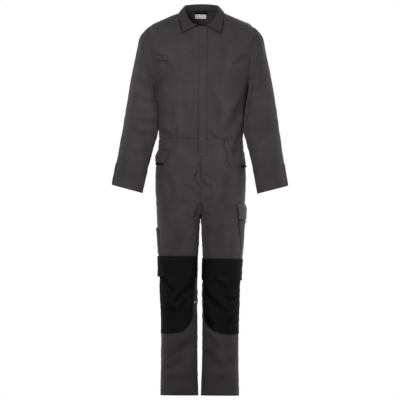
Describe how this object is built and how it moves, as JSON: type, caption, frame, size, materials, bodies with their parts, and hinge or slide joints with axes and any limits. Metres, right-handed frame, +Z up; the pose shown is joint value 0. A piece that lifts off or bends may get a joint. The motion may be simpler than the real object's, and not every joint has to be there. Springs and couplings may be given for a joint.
{
  "type": "boiler suit",
  "caption": "Long-sleeved one-piece work suit with a turn-down collar, hidden front closing, thigh pockets and black knee pockets, hollow and filled out as worn.",
  "frame": {"origin": "between the shoulders, level with the sides of the neck seam, where the wearer's shoulders carry the suit", "axes": "+Z up along the wearer, -Y towards the suit's front, +X towards the wearer's left"},
  "size_m": [0.7485, 0.2922, 1.663],
  "materials": {
    "charcoal_twill": "matte twill",
    "black_cordura": "matte coarse plain weave",
    "white_label": "smooth woven label",
    "black_label": "smooth woven label",
    "grey_reflective": "satin coated tape"
  },
  "bodies": {
    "root": {"back": "charcoal_twill", "care_label": "white_label", "cargo_flap": "charcoal_twill", "cargo_pocket": "charcoal_twill", "cargo_tab": "charcoal_twill", "chest_loop": "charcoal_twill", "collar": "charcoal_twill", "cuff_left": "charcoal_twill", "cuff_right": "charcoal_twill", "cuff_tab_left": "charcoal_twill", "cuff_tab_right": "charcoal_twill", "fly_placket": "charcoal_twill", "front_left": "charcoal_twill", "front_right": "charcoal_twill", "inseam_tab_left": "grey_reflective", "inseam_tab_right": "grey_reflective", "knee_flap_left": "black_cordura", "knee_flap_right": "black_cordura", "knee_pocket_left": "black_cordura", "knee_pocket_right": "black_cordura", "leg_back_left": "charcoal_twill", "leg_back_right": "charcoal_twill", "leg_front_left": "charcoal_twill", "leg_front_right": "charcoal_twill", "neck_label": "black_label", "pocket_facing_left": "charcoal_twill", "pocket_facing_right": "charcoal_twill", "pocket_tack_left": "black_cordura", "pocket_tack_right": "black_cordura", "rule_pocket": "charcoal_twill", "sleeve_back_left": "charcoal_twill", "sleeve_back_right": "charcoal_twill", "sleeve_front_left": "charcoal_twill", "sleeve_front_right": "charcoal_twill", "waist_loop": "charcoal_twill", "yoke": "charcoal_twill"}
  },
  "joints": []
}
